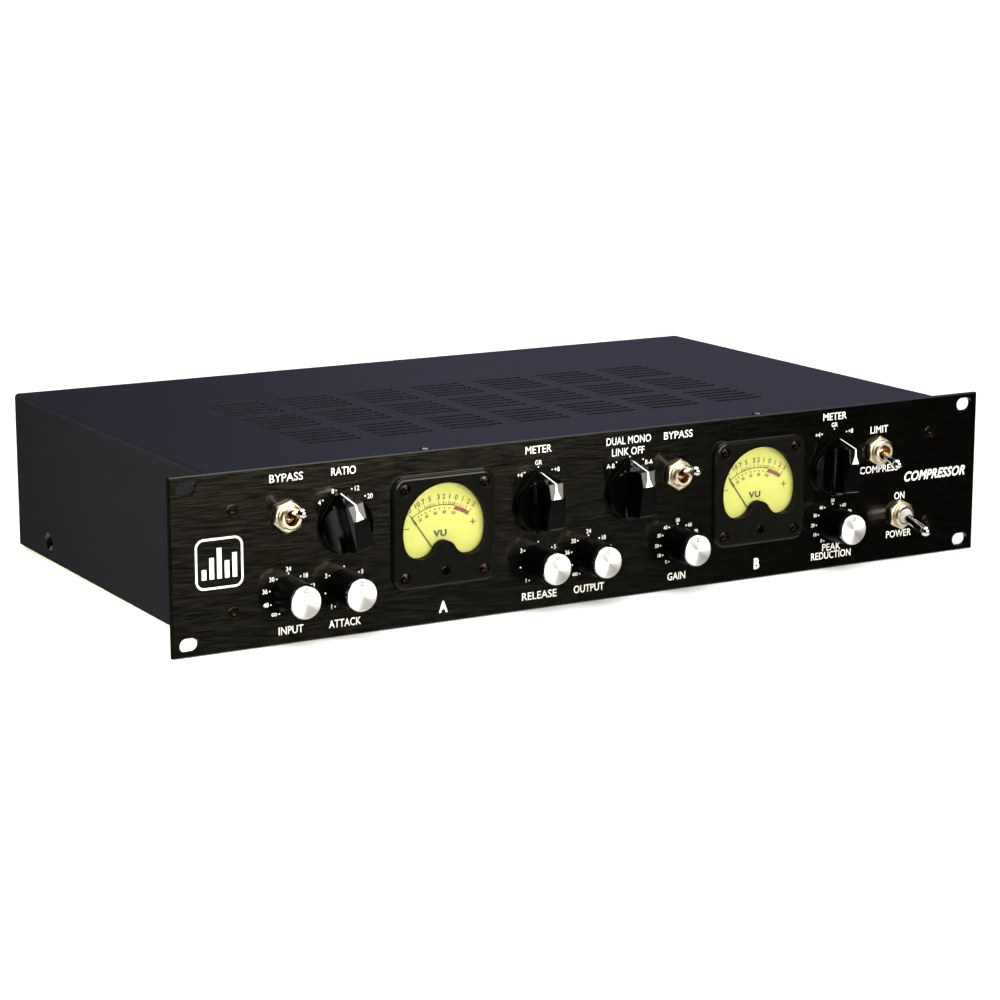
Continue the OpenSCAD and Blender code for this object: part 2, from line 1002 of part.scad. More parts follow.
module at_screw_seats() {
    for (side = [-1, 1])
        translate([side * xlr_screw[0], 0, side * xlr_screw[1]])
            rod_y(2.7, rear_y + 1.6, rear_y + 4);
}

module xlr_outputs() {
    mouth = rear_y + 2.6;
    for (x = xlr_out_x)
        translate([x, 0, xlr_z]) {
            color("#17181a")
                difference() {
                    xlr_blank();
                    at_screw_seats();
                    rod_y(9.6, mouth - 15, mouth + 1);
                }
            color("#c8b070")
                for (turn = [90, 210, 330])
                    rotate([0, turn, 0])
                        translate([5, 0, 0])
                            rod_y(1.2, mouth - 15, mouth - 3);
        }
}

module mains_inlet() {
    mouth = rear_y + 3;
    translate([inlet_x, 0, inlet_z]) {
        color("#151515")
            difference() {
                union() {
                    front_extrude(rear_y, mouth)
                        rounded_2d(50, 33, 4);
                    front_extrude(rear_y - 24, rear_y + 1)
                        square([27.4, 30.4], center = true);
                }
                front_extrude(mouth - 16, mouth + 1)
                    translate([0, 5.2])
                        rounded_2d(24.4, 16.4, 2.5);
                for (side = [-1, 1])
                    translate([side * 20, 0, 0]) {
                        rod_y(1.5, rear_y - 1, mouth + 1);
                        rod_y(2.7, mouth - 0.4, mouth + 1);
                    }
                front_extrude(mouth - 0.6, mouth + 1)
                    translate([0, -9.6])
                        difference() {
                            square([24, 8], center = true);
                            square([22.8, 6.8], center = true);
                        }
            }
        color("#c9c9c4")
            for (pin = [[-7, 1.6], [7, 1.6], [0, 4.8]])
                translate([pin[0] - 1, mouth - 16, pin[1] - 2])
                    cube([2, 12.5, 4]);
    }
}

// A smooth point on the curve through b and c, at share t of the way from b to c
function curve_point(a, b, c, d, t) =
    0.5 * (2 * b + t * (c - a) + t * t * (2 * a - 5 * b + 4 * c - d)
    + t * t * t * (3 * b - 3 * c + d - a));

function smooth_route(p, steps) = [
    for (i = [0 : len(p) - 2], s = [0 : steps - 1])
        curve_point(p[max(i - 1, 0)], p[i], p[i + 1], p[min(i + 2, len(p) - 1)], s / steps),
    p[len(p) - 1]
];

function ring(centre, direction, r, sides) =
    let (
        ahead = direction / norm(direction),
        across = cross(ahead, [0, 0, 1]) / norm(cross(ahead, [0, 0, 1])),
        up = cross(ahead, across)
    )
    [for (k = [0 : sides - 1]) centre + r * (cos(360 * k / sides) * across + sin(360 * k / sides) * up)];

// A bundle of wires swept along its route as one tube
module wire_run(points, r) {
    sides = 8;
    route = smooth_route(points, 4);
    last = len(route) - 1;
    rings = [
        for (i = [0 : last])
            ring(route[i], route[min(i + 1, last)] - route[max(i - 1, 0)], r, sides)
    ];
    walls = [
        for (i = [0 : last - 1], k = [0 : sides - 1])
            let (a = i * sides + k, b = i * sides + (k + 1) % sides)
            [a, a + sides, b + sides, b]
    ];
    start_cap = [for (k = [0 : sides - 1]) k];
    end_cap = [for (k = [sides - 1 : -1 : 0]) last * sides + k];
    polyhedron([for (one = rings, spot = one) spot], concat(walls, [start_cap, end_cap]), convexity = 4);
}

module wiring_loom() {
    color("#33302c") {
        wire_run([[206, 32, -19], [206, 120, -22], [206, 205, -19], [188, 222, -6], [172, rear_y - 30, 0]], 2.4);
        wire_run([[-60, 40, -8], [-95, 44, -8], [-110, 54, -16], [-110, 66, -29]], 2.8);
        wire_run([[28, 40, -4], [28, 62, -8], [28, 74, -18], [26, 80, -30]], 2.8);
        wire_run([[110, 150, -20], [100, 165, -16], [95, 178, -20], [95, 192, -29]], 2.8);
    }
}

front_panel();
chassis_tray();
rear_panel();
top_cover();
panel_screws();
cover_top_screws();
cover_side_screws();
rear_screws();
at_meter(-1) meter_bezel();  // meter_a_bezel
at_meter(-1) meter_lens();  // meter_a_lens
at_meter(-1) meter_dial();  // meter_a_dial
at_meter(-1) meter_case();  // meter_a_case
at_meter(1) meter_bezel();  // meter_b_bezel
at_meter(1) meter_lens();  // meter_b_lens
at_meter(1) meter_dial();  // meter_b_dial
at_meter(1) meter_case();  // meter_b_case
for (side = [-1, 1]) at_meter(side) meter_movement();  // meter_movements
meter_screws();
potentiometers();
rotary_switches();
control_nuts();
toggle_switches();
toggle_nuts();
audio_board();
board_standoffs();
supply_board();
supply_capacitors();
mains_transformer();
audio_transformers();
opto_cell();
heat_sink();
xlr_inputs();
xlr_outputs();
mains_inlet();
wiring_loom();
for (i = [0 : len(knob_names) - 1]) {
    round_knob(i);
    knob_cap(i);
}
pointer_knob(0);  // ratio_pointer
pointer_knob(1);  // meter_a_pointer
pointer_knob(2);  // link_pointer
pointer_knob(3);  // meter_b_pointer
bat_lever(toggles[0], toggle_pivot, lever_angle, toggle_lever);  // bypass_a_lever
bat_lever(toggles[1], toggle_pivot, lever_angle, toggle_lever);  // bypass_b_lever
bat_lever(toggles[2], toggle_pivot, -lever_angle, toggle_lever);  // mode_lever
bat_lever(toggles[3], power_pivot, -lever_angle, power_lever);
power_boot();
at_meter(-1) meter_needle();  // meter_a_needle
at_meter(1) meter_needle();  // meter_b_needle
at_meter(-1) meter_adjuster();  // meter_a_adjuster
at_meter(1) meter_adjuster();  // meter_b_adjuster
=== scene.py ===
"""Looks for a two-channel rack compressor: materials, printed marks, caps, switches and studio."""

import json
import math

import bpy
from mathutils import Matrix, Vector


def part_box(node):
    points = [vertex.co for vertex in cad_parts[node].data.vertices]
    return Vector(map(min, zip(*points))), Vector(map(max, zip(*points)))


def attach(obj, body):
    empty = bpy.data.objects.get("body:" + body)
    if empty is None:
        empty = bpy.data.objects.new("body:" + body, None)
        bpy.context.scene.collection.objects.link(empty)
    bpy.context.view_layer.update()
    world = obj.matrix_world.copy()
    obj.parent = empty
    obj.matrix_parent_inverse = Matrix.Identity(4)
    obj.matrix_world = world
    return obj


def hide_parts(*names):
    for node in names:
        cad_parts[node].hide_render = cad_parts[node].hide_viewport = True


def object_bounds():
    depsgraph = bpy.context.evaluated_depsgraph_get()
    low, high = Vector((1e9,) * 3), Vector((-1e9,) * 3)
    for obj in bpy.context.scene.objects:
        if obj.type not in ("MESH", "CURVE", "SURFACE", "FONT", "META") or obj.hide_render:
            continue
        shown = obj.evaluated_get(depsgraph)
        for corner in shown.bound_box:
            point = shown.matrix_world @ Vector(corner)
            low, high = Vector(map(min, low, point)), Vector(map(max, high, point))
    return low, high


MM = 0.001
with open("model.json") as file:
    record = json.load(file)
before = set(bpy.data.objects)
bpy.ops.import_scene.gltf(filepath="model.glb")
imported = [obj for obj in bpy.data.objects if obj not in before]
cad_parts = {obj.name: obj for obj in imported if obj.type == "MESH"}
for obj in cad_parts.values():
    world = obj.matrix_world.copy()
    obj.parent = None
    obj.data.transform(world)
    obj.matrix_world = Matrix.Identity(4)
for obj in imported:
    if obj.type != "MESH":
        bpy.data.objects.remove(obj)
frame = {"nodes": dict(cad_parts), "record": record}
NODES = frame["nodes"]
CAD_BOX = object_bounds()
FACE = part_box("front_panel")[0].y / MM
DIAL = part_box("meter_a_dial")[0].y / MM
KNOBS = ["input", "attack", "release", "output", "gain", "peak_reduction"]
PRINT_LIFT = 0.03
BEVEL_SAMPLES = 6
SPIN_RINGS = 5200.0


# ---------------------------------------------------------------- materials

def principled(name, color, roughness, metallic=0.0, **values):
    """A material with one Principled shader. Other values are socket names with _ for a space."""
    material = bpy.data.materials.new(name)
    material.use_nodes = True
    shader = material.node_tree.nodes["Principled BSDF"]
    shader.inputs["Base Color"].default_value = (*color, 1)
    shader.inputs["Roughness"].default_value = roughness
    shader.inputs["Metallic"].default_value = metallic
    for key, value in values.items():
        shader.inputs[key.replace("_", " ")].default_value = value
    return material


def node(material, kind, **inputs):
    """A new shader node of the given kind, with its input sockets set."""
    made = material.node_tree.nodes.new(kind)
    for key, value in inputs.items():
        made.inputs[key].default_value = value
    return made


def noise(material, size, stretch=(1, 1, 1), detail=4.0):
    """Noise with features about size mm wide, longer along the axes where stretch is over 1."""
    links = material.node_tree.links
    place = node(material, "ShaderNodeTexCoord")
    scale = node(material, "ShaderNodeMapping")
    scale.inputs["Scale"].default_value = [1 / (size * MM * s) for s in stretch]
    texture = node(material, "ShaderNodeTexNoise", Scale=1.0, Detail=detail)
    links.new(place.outputs["Object"], scale.inputs["Vector"])
    links.new(scale.outputs["Vector"], texture.inputs["Vector"])
    return texture.outputs["Fac"]


def tint(material, value, dark, light, low=0.35, high=0.65):
    """Colours the shader from dark to light as value goes from low to high."""
    ramp = node(material, "ShaderNodeValToRGB")
    ramp.color_ramp.elements[0].position = low
    ramp.color_ramp.elements[0].color = (*dark, 1)
    ramp.color_ramp.elements[1].position = high
    ramp.color_ramp.elements[1].color = (*light, 1)
    shader = material.node_tree.nodes["Principled BSDF"]
    material.node_tree.links.new(value, ramp.inputs["Fac"])
    material.node_tree.links.new(ramp.outputs["Color"], shader.inputs["Base Color"])


def polish(material, value, low, high):
    """Sets the roughness from low to high as value goes from 0.3 to 0.7."""
    spread = node(material, "ShaderNodeMapRange")
    spread.inputs["From Min"].default_value = 0.3
    spread.inputs["From Max"].default_value = 0.7
    spread.inputs["To Min"].default_value = low
    spread.inputs["To Max"].default_value = high
    shader = material.node_tree.nodes["Principled BSDF"]
    material.node_tree.links.new(value, spread.inputs["Value"])
    material.node_tree.links.new(spread.outputs["Result"], shader.inputs["Roughness"])


def relief(material, value, height):
    """Raises the surface by up to height mm where value is high."""
    nodes, links = material.node_tree.nodes, material.node_tree.links
    bump = node(material, "ShaderNodeBump", Strength=1.0, Distance=height * MM)
    normal = nodes["Principled BSDF"].inputs["Normal"]
    if normal.links:
        links.new(normal.links[0].from_socket, bump.inputs["Normal"])
    links.new(value, bump.inputs["Height"])
    links.new(bump.outputs["Normal"], normal)


def soften(material, radius):
    """Rounds the edges by radius mm in the shading."""
    bevel = node(material, "ShaderNodeBevel", Radius=radius * MM)
    bevel.samples = BEVEL_SAMPLES
    shader = material.node_tree.nodes["Principled BSDF"]
    material.node_tree.links.new(bevel.outputs["Normal"], shader.inputs["Normal"])


def grain(material, axis):
    """Turns the stretched highlight so that it runs round the given axis."""
    tangent = node(material, "ShaderNodeTangent")
    tangent.direction_type = "RADIAL"
    tangent.axis = axis
    shader = material.node_tree.nodes["Principled BSDF"]
    material.node_tree.links.new(tangent.outputs["Tangent"], shader.inputs["Tangent"])


def along(material, axis):
    """The object's own X, Y or Z in metres."""
    place = node(material, "ShaderNodeTexCoord")
    split = node(material, "ShaderNodeSeparateXYZ")
    material.node_tree.links.new(place.outputs["Object"], split.inputs[0])
    return split.outputs[axis]


def maths(material, operation, a, b=0.0):
    """One step of arithmetic on two sockets or numbers."""
    made = node(material, "ShaderNodeMath")
    made.operation = operation
    for socket, value in zip(made.inputs, (a, b)):
        if isinstance(value, (int, float)):
            socket.default_value = value
        else:
            material.node_tree.links.new(value, socket)
    return made.outputs[0]


def surface(name, dark, light, roughness, size, metallic=0.0, stretch=(1, 1, 1), height=0.0, edge=0.0,
            **values):
    """A mottled surface: colour and roughness follow broad noise, and the relief follows fine noise."""
    material = principled(name, light, roughness[0], metallic, **values)
    if edge:
        soften(material, edge)
    broad = noise(material, size * 12, stretch)
    tint(material, broad, dark, light)
    polish(material, noise(material, size * 4, stretch), *roughness)
    if height:
        relief(material, noise(material, size, stretch), height)
    return material


def brushed(name, dark, light, roughness, height, **values):
    """Metal brushed along X: long fine streaks in colour, roughness and relief."""
    material = principled(name, light, roughness[0], Anisotropic=0.8, **values)
    grain(material, "X")
    tint(material, noise(material, 0.4, (26, 1, 1), 5), dark, light, 0.35, 0.65)
    polish(material, noise(material, 0.45, (24, 1, 1), 4), *roughness)
    relief(material, noise(material, 0.35, (30, 1, 1), 3), height)
    return material


def spun(name, shade, light, roughness):
    """Aluminium turned on a lathe: fine rings round the Y axis, and a painted reflection: grey sectors
    painted between bright ones, where lamps would mirror in the turned face.
    """
    material = principled(name, light, roughness, 1.0, Anisotropic=0.6)
    grain(material, "Y")
    x, z = along(material, 0), along(material, 2)
    square = maths(material, "ADD", maths(material, "MULTIPLY", x, x), maths(material, "MULTIPLY", z, z))
    radius = maths(material, "SQRT", square)
    # Painted reflection: the colour goes grey at the diagonals and bright upright and level, standing in for
    # lamps mirrored in the turned face.
    double_turn = maths(material, "MULTIPLY", 2.0, maths(material, "ARCTAN2", z, x))
    painted_reflection_sector = maths(material, "ABSOLUTE", maths(material, "COSINE", double_turn))
    tint(material, painted_reflection_sector, shade, light, 0.1, 0.75)
    rings = node(material, "ShaderNodeTexNoise", Scale=SPIN_RINGS, Detail=2.0)
    rings.noise_dimensions = "1D"
    material.node_tree.links.new(radius, rings.inputs["W"])
    relief(material, rings.outputs["Fac"], 0.003)
    return material


def threaded(name, color, roughness, pitch, depth):
    """Plated metal with a thread cut round the Y axis."""
    material = principled(name, color, roughness, 1.0)
    turns = maths(material, "MULTIPLY", along(material, 1), 2 * math.pi / (pitch * MM))
    relief(material, maths(material, "SINE", turns), depth / 2)
    return material


WARM = (1.0, 0.93, 0.76, 1)
LOOKS = {
    "panel_black": brushed("panel_black", (0.0003, 0.0003, 0.0002), (0.0014, 0.0014, 0.0010), (0.08, 0.17),
                           0.0014, Specular_Tint=WARM, Specular_IOR_Level=0.5),
    "plated_steel": surface("plated_steel", (0.38, 0.38, 0.39), (0.5, 0.5, 0.5), (0.3, 0.45), 1.2, 1.0,
                            height=0.002),
    "painted_black": surface("painted_black", (0.006, 0.006, 0.007), (0.011, 0.011, 0.012), (0.42, 0.55),
                             0.35, height=0.02),
    "painted_navy": surface("painted_navy", (0.0034, 0.0034, 0.005), (0.0042, 0.0042, 0.0062),
                            (0.28, 0.34), 0.3, height=0.004, Specular_IOR_Level=0.42),
    "black_screw": surface("black_screw", (0.06, 0.045, 0.03), (0.16, 0.11, 0.07), (0.1, 0.16), 0.4, 1.0,
                           height=0.003, edge=0.25),
    "steel_screw": surface("steel_screw", (0.06, 0.062, 0.06), (0.14, 0.145, 0.14), (0.12, 0.2), 0.5, 1.0,
                           height=0.002, edge=0.2),
    "bronze_screw": surface("bronze_screw", (0.02, 0.016, 0.01), (0.07, 0.048, 0.03), (0.08, 0.14), 0.3,
                            1.0, height=0.003, edge=0.25),
    "bezel_black": surface("bezel_black", (0.0035, 0.0035, 0.0028), (0.0045, 0.0045, 0.0037), (0.09, 0.13),
                           0.25, height=0.0006, edge=0.2, Specular_IOR_Level=0.2),
    "clear_lens": surface("clear_lens", (0.018, 0.018, 0.018), (0.022, 0.022, 0.022), (0.02, 0.045), 2.0,
                          Alpha=0.06),
    "dial_yellow": surface("dial_yellow", (0.50, 0.51, 0.113), (0.53, 0.54, 0.131), (0.6, 0.7), 0.3,
                           height=0.003),
    "case_black": surface("case_black", (0.008, 0.008, 0.008), (0.012, 0.012, 0.012), (0.4, 0.5), 0.3,
                          height=0.006),
    "movement_steel": surface("movement_steel", (0.3, 0.3, 0.32), (0.42, 0.42, 0.44), (0.3, 0.4), 0.6, 1.0),
    "pot_steel": surface("pot_steel", (0.42, 0.42, 0.43), (0.55, 0.55, 0.56), (0.25, 0.38), 0.7, 1.0),
    "phenolic": surface("phenolic", (0.16, 0.08, 0.03), (0.25, 0.13, 0.05), (0.4, 0.55), 0.5, height=0.01),
    "nickel": surface("nickel", (0.8, 0.7, 0.5), (0.94, 0.86, 0.68), (0.27, 0.33), 0.5, 1.0,
                      height=0.0005, edge=0.7),
    "board_green": surface("board_green", (0.01, 0.07, 0.02), (0.015, 0.1, 0.03), (0.25, 0.35), 0.8,
                           height=0.01),
    "brass": surface("brass", (0.5, 0.36, 0.14), (0.6, 0.45, 0.2), (0.22, 0.32), 0.5, 1.0),
    "capacitor_blue": surface("capacitor_blue", (0.012, 0.018, 0.06), (0.018, 0.025, 0.08), (0.2, 0.3), 0.6),
    "winding": surface("winding", (0.32, 0.13, 0.04), (0.5, 0.24, 0.08), (0.2, 0.35), 0.5, 0.7, (1, 1, 6),
                       0.05),
    "can_grey": surface("can_grey", (0.2, 0.2, 0.21), (0.3, 0.3, 0.31), (0.35, 0.5), 0.6, 1.0),
    "sink_black": brushed("sink_black", (0.01, 0.01, 0.011), (0.02, 0.02, 0.022), (0.35, 0.5), 0.004),
    "connector_black": surface("connector_black", (0.010, 0.010, 0.011), (0.016, 0.016, 0.017), (0.38, 0.5),
                               0.3, height=0.01),
    "cable_black": surface("cable_black", (0.008, 0.008, 0.008), (0.02, 0.018, 0.016), (0.5, 0.7), 0.5,
                           height=0.05),
    "knob_black": surface("knob_black", (0.0003, 0.0003, 0.0004), (0.0007, 0.0007, 0.0008), (0.09, 0.13),
                          0.5, height=0.0004, edge=0.4),
    "cap_silver": spun("cap_silver", (0.8, 0.8, 0.8), (0.99, 0.99, 0.99), 0.42),
    "chrome": surface("chrome", (0.78, 0.77, 0.76), (0.88, 0.87, 0.85), (0.03, 0.08), 0.6, 1.0),
    "boot_grey": surface("boot_grey", (0.3, 0.29, 0.27), (0.42, 0.41, 0.39), (0.45, 0.6), 0.4, height=0.01),
    "needle_black": surface("needle_black", (0.05, 0.05, 0.03), (0.08, 0.08, 0.05), (0.4, 0.5), 0.2),
}
SATIN = surface("knob_satin", (0.0004, 0.0004, 0.0005), (0.0008, 0.0008, 0.001), (0.3, 0.4), 0.4,
                height=0.002, edge=0.3, Specular_IOR_Level=0.025)
MATT = surface("window_matt", (0.001, 0.001, 0.001), (0.002, 0.002, 0.002), (0.6, 0.7), 0.3, height=0.004,
               Specular_IOR_Level=0.1)
THREAD = threaded("threaded_nickel", (0.9, 0.8, 0.62), 0.3, 0.79, 0.04)
BORE = surface("bore_brass", (0.32, 0.14, 0.03), (0.6, 0.34, 0.12), (0.2, 0.35), 0.4, 1.0)
BAND = surface("cap_band", (0.62, 0.66, 0.74), (0.75, 0.78, 0.84), (0.1, 0.16), 0.4, 1.0)
RING = surface("cap_ring", (0.03, 0.022, 0.015), (0.08, 0.06, 0.045), (0.35, 0.5), 0.1)
WHITE_INK = surface("white_ink", (0.7, 0.7, 0.68), (0.8, 0.8, 0.78), (0.5, 0.65), 0.2, height=0.004)
BLACK_INK = surface("black_ink", (0.05, 0.05, 0.03), (0.09, 0.09, 0.055), (0.6, 0.7), 0.2)
RED_INK = surface("red_ink", (0.19, 0.045, 0.045), (0.24, 0.065, 0.06), (0.6, 0.7), 0.2)


# ---------------------------------------------------------------- mesh code

def add_piece(name, body, verts, faces, materials, face_materials=None, origin=(0, 0, 0), sharp=35):
    """A mesh piece from points in mm round its origin, riding on a body."""
    mesh = bpy.data.meshes.new(name)
    mesh.from_pydata([Vector(v) * MM for v in verts], [], faces)
    for material in materials:
        mesh.materials.append(material)
    if face_materials:
        mesh.polygons.foreach_set("material_index", face_materials)
    mesh.shade_smooth()
    mesh.set_sharp_from_angle(angle=math.radians(sharp))
    piece = bpy.data.objects.new(name, mesh)
    piece.location = Vector(origin) * MM
    bpy.context.scene.collection.objects.link(piece)
    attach(piece, body)
    return piece


def arc_points(centre, radius, start, end, steps):
    """Points on an arc in X and Z. Angles are in degrees clockwise from upright."""
    turns = [math.radians(start + (end - start) * i / steps) for i in range(steps + 1)]
    return [(centre[0] + radius * math.sin(t), centre[1] + radius * math.cos(t)) for t in turns]


def filleted(points, radius, steps=4):
    """A line of (radius, height) points with its inner corners rounded."""
    made = [points[0]]
    for before, corner, after in zip(points, points[1:], points[2:]):
        a, b, c = Vector(before), Vector(corner), Vector(after)
        cut = min(radius, (a - b).length * 0.45, (c - b).length * 0.45)
        start, end = b + (a - b).normalized() * cut, b + (c - b).normalized() * cut
        for i in range(steps + 1):
            t = i / steps
            made.append(tuple(start * (1 - t) ** 2 + b * 2 * t * (1 - t) + end * t ** 2))
    return made + [points[-1]]


def turned(profile, sides=96, material_of=None):
    """Points and faces of a profile of (radius, height) turned round Y, with height running forward."""
    verts, faces, materials, rows = [], [], [], []
    for r, h in profile:
        if r < 1e-6:
            rows.append([len(verts)] * sides)
            verts.append((0, -h, 0))
            continue
        rows.append(list(range(len(verts), len(verts) + sides)))
        for k in range(sides):
            t = 2 * math.pi * k / sides
            verts.append((r * math.cos(t), -h, r * math.sin(t)))
    for i, (low, high) in enumerate(zip(rows, rows[1:])):
        for k in range(sides):
            n = (k + 1) % sides
            ring = [low[k], low[n], high[n], high[k]]
            faces.append(list(dict.fromkeys(ring)))
            middle = (Vector(profile[i]) + Vector(profile[i + 1])) / 2
            materials.append(material_of(*middle) if material_of else 0)
    return verts, faces, materials


class Print:
    """Flat printed marks gathered on one face. Each mark has an ink, an index into the inks."""

    def __init__(self):
        self.verts, self.faces, self.inks = [], [], []

    def polygon(self, points, ink=0):
        start = len(self.verts)
        self.verts += points
        self.faces.append(list(range(start, start + len(points))))
        self.inks.append(ink)

    def disc(self, x, z, radius, ink=0):
        self.polygon(arc_points((x, z), radius, 0, 345, 23), ink)

    def band(self, centre, inner, outer, start, end, ink=0, steps=48):
        a = arc_points(centre, inner, start, end, steps)
        b = arc_points(centre, outer, start, end, steps)
        for i in range(steps):
            self.polygon([a[i], b[i], b[i + 1], a[i + 1]], ink)

    def spoke(self, centre, inner, outer, angle, width, ink=0):
        turn = math.radians(angle)
        out = Vector((math.sin(turn), math.cos(turn)))
        side = Vector((math.cos(turn), -math.sin(turn))) * width / 2
        middle = Vector(centre)
        a, b = middle + out * inner, middle + out * outer
        self.polygon([tuple(p) for p in (a - side, b - side, b + side, a + side)], ink)

    def box(self, x0, z0, x1, z1, ink=0):
        self.polygon([(x0, z0), (x0, z1), (x1, z1), (x1, z0)], ink)

    def text(self, words, x, z, cap, ink=0, align="CENTER", turn=0.0, width=0.82, span=None, weight=0.012,
             slant=0.0):
        """Words with capitals cap mm high, centred in height on z, and span mm long if that is given."""
        curve = bpy.data.curves.new("words", "FONT")
        curve.body, curve.align_x = words, align
        curve.offset, curve.shear = weight, slant
        curve.resolution_u = 4
        curve.space_character = 1.0 + 2.4 * weight
        holder = bpy.data.objects.new("words", curve)
        bpy.context.scene.collection.objects.link(holder)
        bpy.context.view_layer.update()
        mesh = bpy.data.meshes.new_from_object(holder.evaluated_get(bpy.context.evaluated_depsgraph_get()))
        tall = cap / CAP_HEIGHT
        wide = tall * width
        if span:
            across = [v.co.x for v in mesh.vertices]
            wide = span / (max(across) - min(across))
        c, s = math.cos(math.radians(turn)), math.sin(math.radians(turn))
        start = len(self.verts)
        for v in mesh.vertices:
            u, w = v.co.x * wide, v.co.y * tall - cap / 2
            self.verts.append((x + u * c + w * s, z - u * s + w * c))
        for face in mesh.polygons:
            self.faces.append([start + i for i in face.vertices])
            self.inks.append(ink)
        bpy.data.objects.remove(holder)
        bpy.data.curves.remove(curve)
        bpy.data.meshes.remove(mesh)

    def build(self, name, body, y, inks):
        """Makes the marks one piece at the given y, with every face turned to the front."""
        verts = [(x, y, z) for x, z in self.verts]
        faces = []
        for face in self.faces:
            area = sum(self.verts[p][0] * self.verts[q][1] - self.verts[q][0] * self.verts[p][1]
                       for p, q in zip(face, face[1:] + face[:1]))
            faces.append(face if area > 0 else face[::-1])
        return add_piece(name, body, verts, faces, inks, self.inks)


def cap_height():
    """How high a capital is in Blender's own font at size 1."""
    curve = bpy.data.curves.new("measure", "FONT")
    curve.body = "H"
    holder = bpy.data.objects.new("measure", curve)
    bpy.context.scene.collection.objects.link(holder)
    bpy.context.view_layer.update()
    height = holder.dimensions.y
    bpy.data.objects.remove(holder)
    bpy.data.curves.remove(curve)
    return height


CAP_HEIGHT = cap_height()


def middle(name):
    """The middle of a CAD node's box in mm."""
    low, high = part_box(name)
    return (low + high) / 2 / MM


# ---------------------------------------------------------------- carried-over nodes

for part in frame["record"]["subparts"]:
    for holder in NODES[part["node"]].material_slots:
        holder.material = LOOKS[part["material_slot"]]
for name in KNOBS:
    NODES[f"{name}_knob"].material_slots[0].material = SATIN
NODES["toggle_switches"].material_slots[0].material = THREAD
for letter in "ab":
    NODES[f"meter_{letter}_adjuster"].material_slots[0].material = LOOKS["knob_black"]


# ---------------------------------------------------------------- printing on the panel

LABEL = 3.8
LABEL_WEIGHT = 0.008
NUMBER_WEIGHT = 0.01
NUMBER_WIDTH = 0.9
NUMBER_GAP = 1.1
NUMBER_RISE = 0.15
DOT_R = 0.42
SELECTOR_R, SELECTOR_CAP = 16.2, 2.3
LABELS = [
    ("BYPASS", -180.6, 38.4, 17.8), ("RATIO", -149.8, 38.6, 13.4), ("METER", -40.1, 38.7, 15.3),
    ("DUAL MONO", 13.8, 38.5, 27.0), ("LINK OFF", 13.5, 32.6, 19.7), ("BYPASS", 44.1, 38.5, 17.7),
    ("METER", 144.4, 39.2, 15.5), ("LIMIT", 174.4, 29.3, 11.8), ("COMPRESS", 175.0, 7.5, 25.7),
    ("ON", 189.6, -8.8, 6.9), ("POWER", 189.5, -30.0, 17.0), ("INPUT", -179.3, -37.2, 13.3),
    ("ATTACK", -149.9, -37.2, 17.5), ("RELEASE", -39.4, -36.8, 20.4), ("OUTPUT", -9.7, -36.7, 18.2),
    ("GAIN", 44.2, -36.8, 11.1), ("PEAK", 144.1, -32.4, 12.3), ("REDUCTION", 144.1, -36.8, 26.3),
]
ATTENUATION = [(-150 + 37.5 * i, word, 0.0) for i, word in enumerate("∞ 48 36 30 24 18 12 6 0".split())]
SPEED = [(-150 + 50 * i, word, 0.0) for i, word in enumerate(["1", "", "3", "", "5", "", "7"])]
PERCENT = [(-150 + 30 * i, str(10 * i), 0.0) for i in range(11)]
DIALS = {
    "input_cap": (ATTENUATION, 10.5, 2.2), "output_cap": (ATTENUATION, 10.5, 2.2),
    "attack_cap": (SPEED, 10.5, 2.2), "release_cap": (SPEED, 10.5, 2.2),
    "gain_cap": (PERCENT, 10.6, 1.8), "peak_reduction_cap": (PERCENT, 10.6, 1.8),
}
SELECTORS = [
    (-149.6, 13.5, [(-45, "4", 1.0), (-15, "8", 0.3), (15, "12", 0.0), (45, "20", 0.4)]),
    (-40.0, 13.5, [(-30, "+4", 1.2), (0, "GR", 0.0), (30, "+8", 0.2)]),
    (14.6, 13.5, [(-30, "A-B", 1.9), (0, "", 0.0), (30, "B-A", 1.8)]),
    (144.4, 16.1, [(-30, "+4", 0.4), (0, "GR", 0.0), (30, "+8", 0.0)]),
]


def infinity(ink, x, z):
    """Two small rings side by side."""
    for side in (-1, 1):
        ink.band((x + side * 0.72, z), 0.42, 0.86, 0, 360, steps=16)


def dial_marks(ink, x, z, marks, radius, cap):
    """Dots on a circle with a number outside each one, lowered by drop mm where the printing sits low."""
    for angle, word, drop in marks:
        turn = math.radians(angle)
        px, pz = x + radius * math.sin(turn), z + radius * math.cos(turn)
        ink.disc(px, pz, DOT_R)
        side = math.copysign(1, math.sin(turn))
        if word == "∞":
            infinity(ink, px + side * 2.7, pz)
        elif word and abs(math.sin(turn)) < 0.1:
            ink.text(word, px, pz + cap / 2 + NUMBER_GAP, cap, width=NUMBER_WIDTH, weight=NUMBER_WEIGHT)
        elif word:
            align = "LEFT" if side > 0 else "RIGHT"
            ink.text(word, px + side * NUMBER_GAP, pz + NUMBER_RISE - drop, cap, align=align,
                     width=NUMBER_WIDTH, weight=NUMBER_WEIGHT)


def emblem(ink, x, z):
    """A plain mark: a rounded square round five level bars."""
    half, corner, line = 12.5, 4.5, 1.1
    inner = half - corner
    for sx, sz, start in ((1, 1, 0), (1, -1, 90), (-1, -1, 180), (-1, 1, 270)):
        ink.band((x + sx * inner, z + sz * inner), corner - line, corner, start, start + 90, steps=12)
    for side in (-1, 1):
        low = side * half - (line if side > 0 else 0)
        ink.box(x - inner, z + low, x + inner, z + low + line)
        ink.box(x + low, z - inner, x + low + line, z + inner)
    for i, height in enumerate((5.0, 10.5, 15.0, 8.5, 12.0)):
        ink.box(x + (i - 2) * 4 - 1.2, z - 7.5, x + (i - 2) * 4 + 1.2, z - 7.5 + height)


